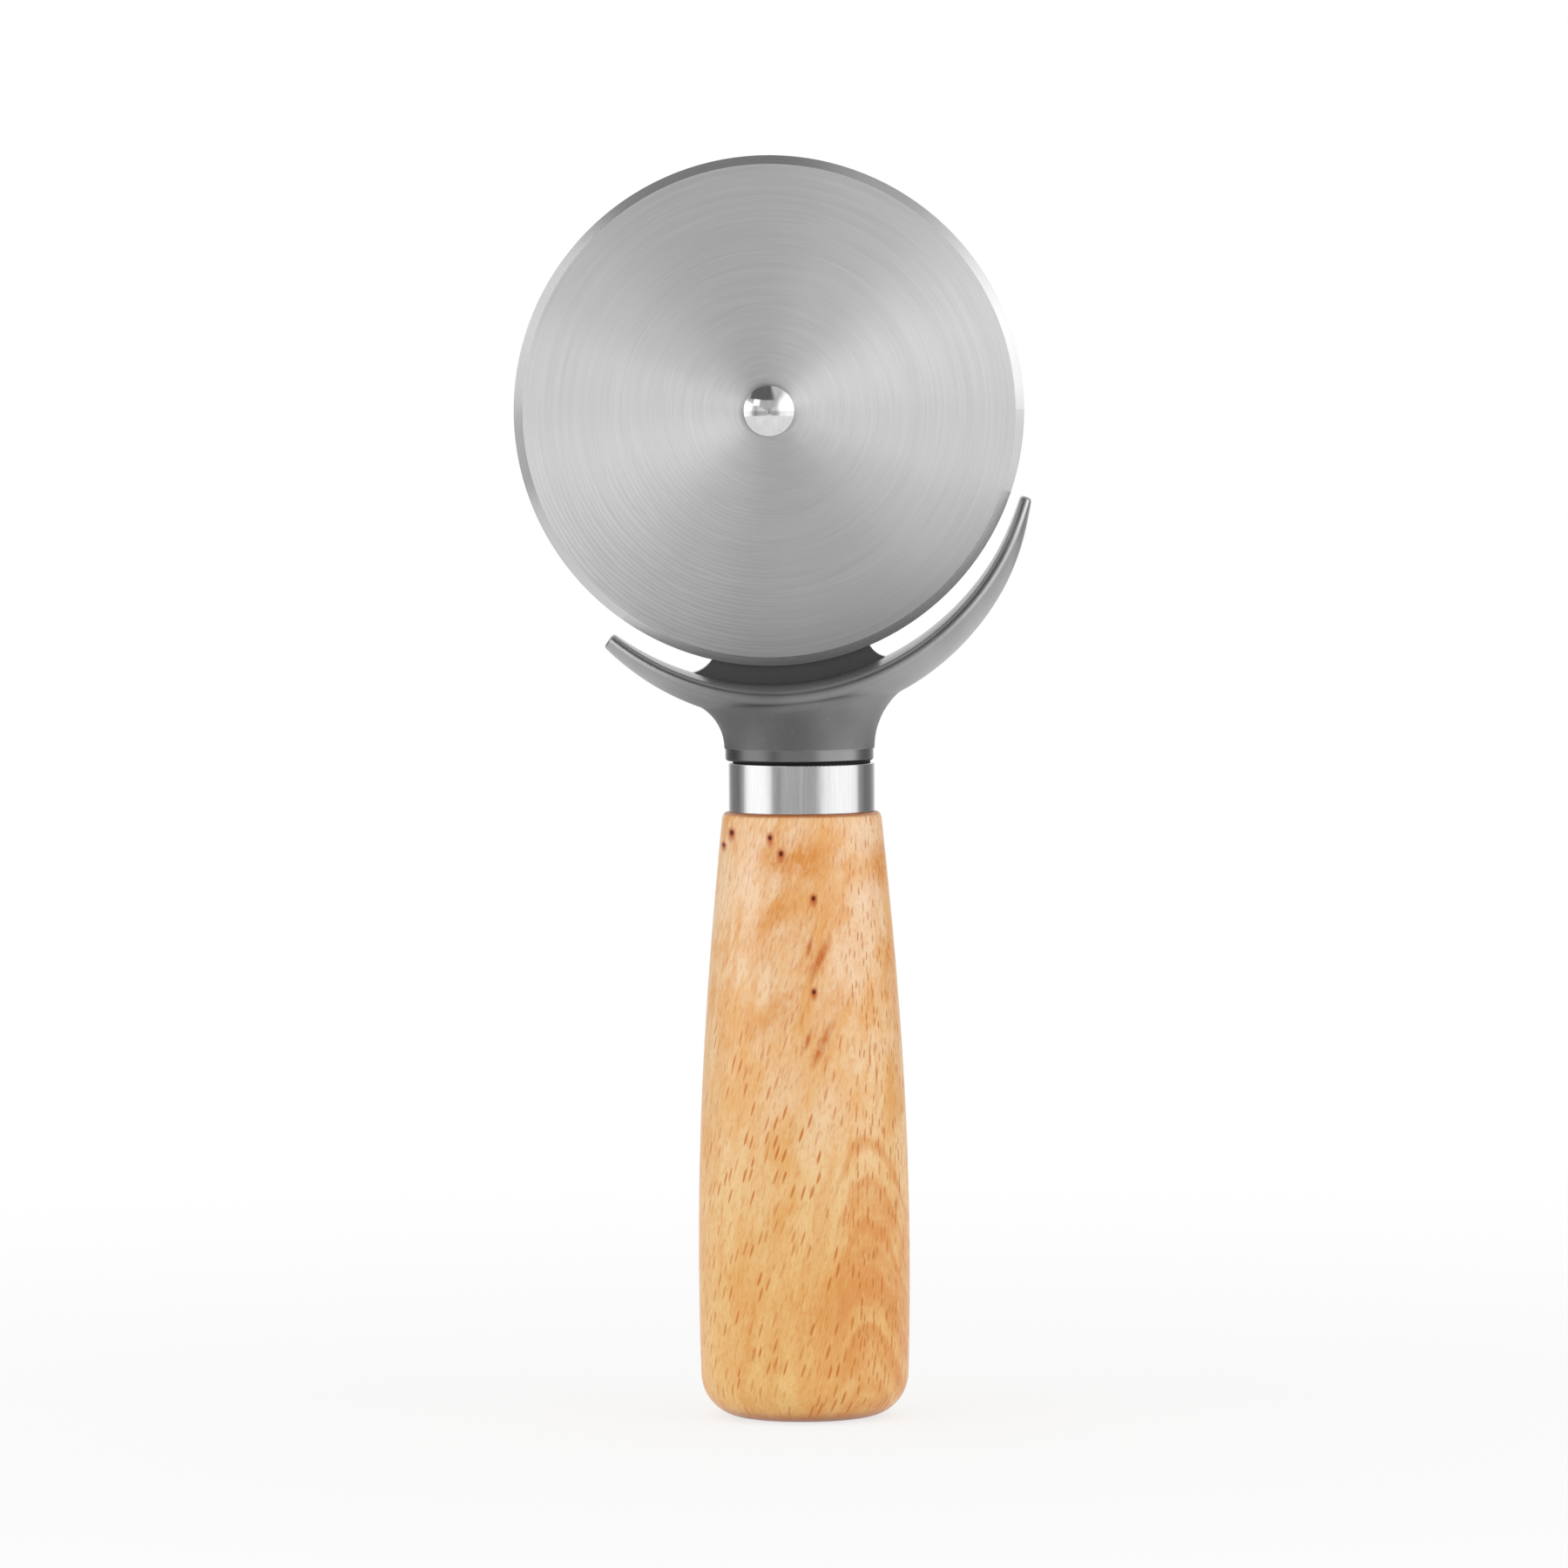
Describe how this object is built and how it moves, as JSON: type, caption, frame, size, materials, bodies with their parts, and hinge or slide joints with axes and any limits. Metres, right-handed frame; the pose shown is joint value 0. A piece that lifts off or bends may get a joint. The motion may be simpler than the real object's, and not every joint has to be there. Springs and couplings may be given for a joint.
{
  "type": "pizza cutter wheel",
  "caption": "Hand-held pizza cutter: a round steel blade turns on a rivet in a one-arm metal guard with a finger-guard crescent, on a turned wooden handle.",
  "frame": {"origin": "middle of the handle's flat butt, on the handle's axis", "axes": "+Z along the handle from the butt to the blade, +X to the side of the guard's long horn, -Y to the front, where the domed rivet head shows; the blade's axle runs along Y"},
  "size_m": [0.076, 0.0312, 0.1857],
  "materials": {
    "wood": "lacquered beech, semi-gloss",
    "ferrule_steel": "fine turned stainless steel",
    "rod_steel": "plain drawn steel",
    "plated_casting": "satin grey plating on a zinc alloy casting",
    "blade_steel": "turned stainless steel with concentric grain",
    "bush_plastic": "white acetal",
    "washer_steel": "plain stainless steel",
    "rivet_chrome": "polished chrome"
  },
  "bodies": {
    "grip": {"handle": "wood", "ferrule": "ferrule_steel", "tang": "rod_steel", "guard_body": "plated_casting", "front_washer": "washer_steel", "rear_washer": "washer_steel", "axle_rivet": "rivet_chrome", "rivet_cap": "rivet_chrome"},
    "wheel": {"cutting_wheel": "blade_steel", "wheel_bush": "bush_plastic"}
  },
  "joints": [
    {"name": "wheel_spin", "type": "hinge", "parent": "grip", "child": "wheel", "pos_m": [-0.0045, 0, 0.1482], "axis": [0, 1, 0], "continuous": true}
  ]
}
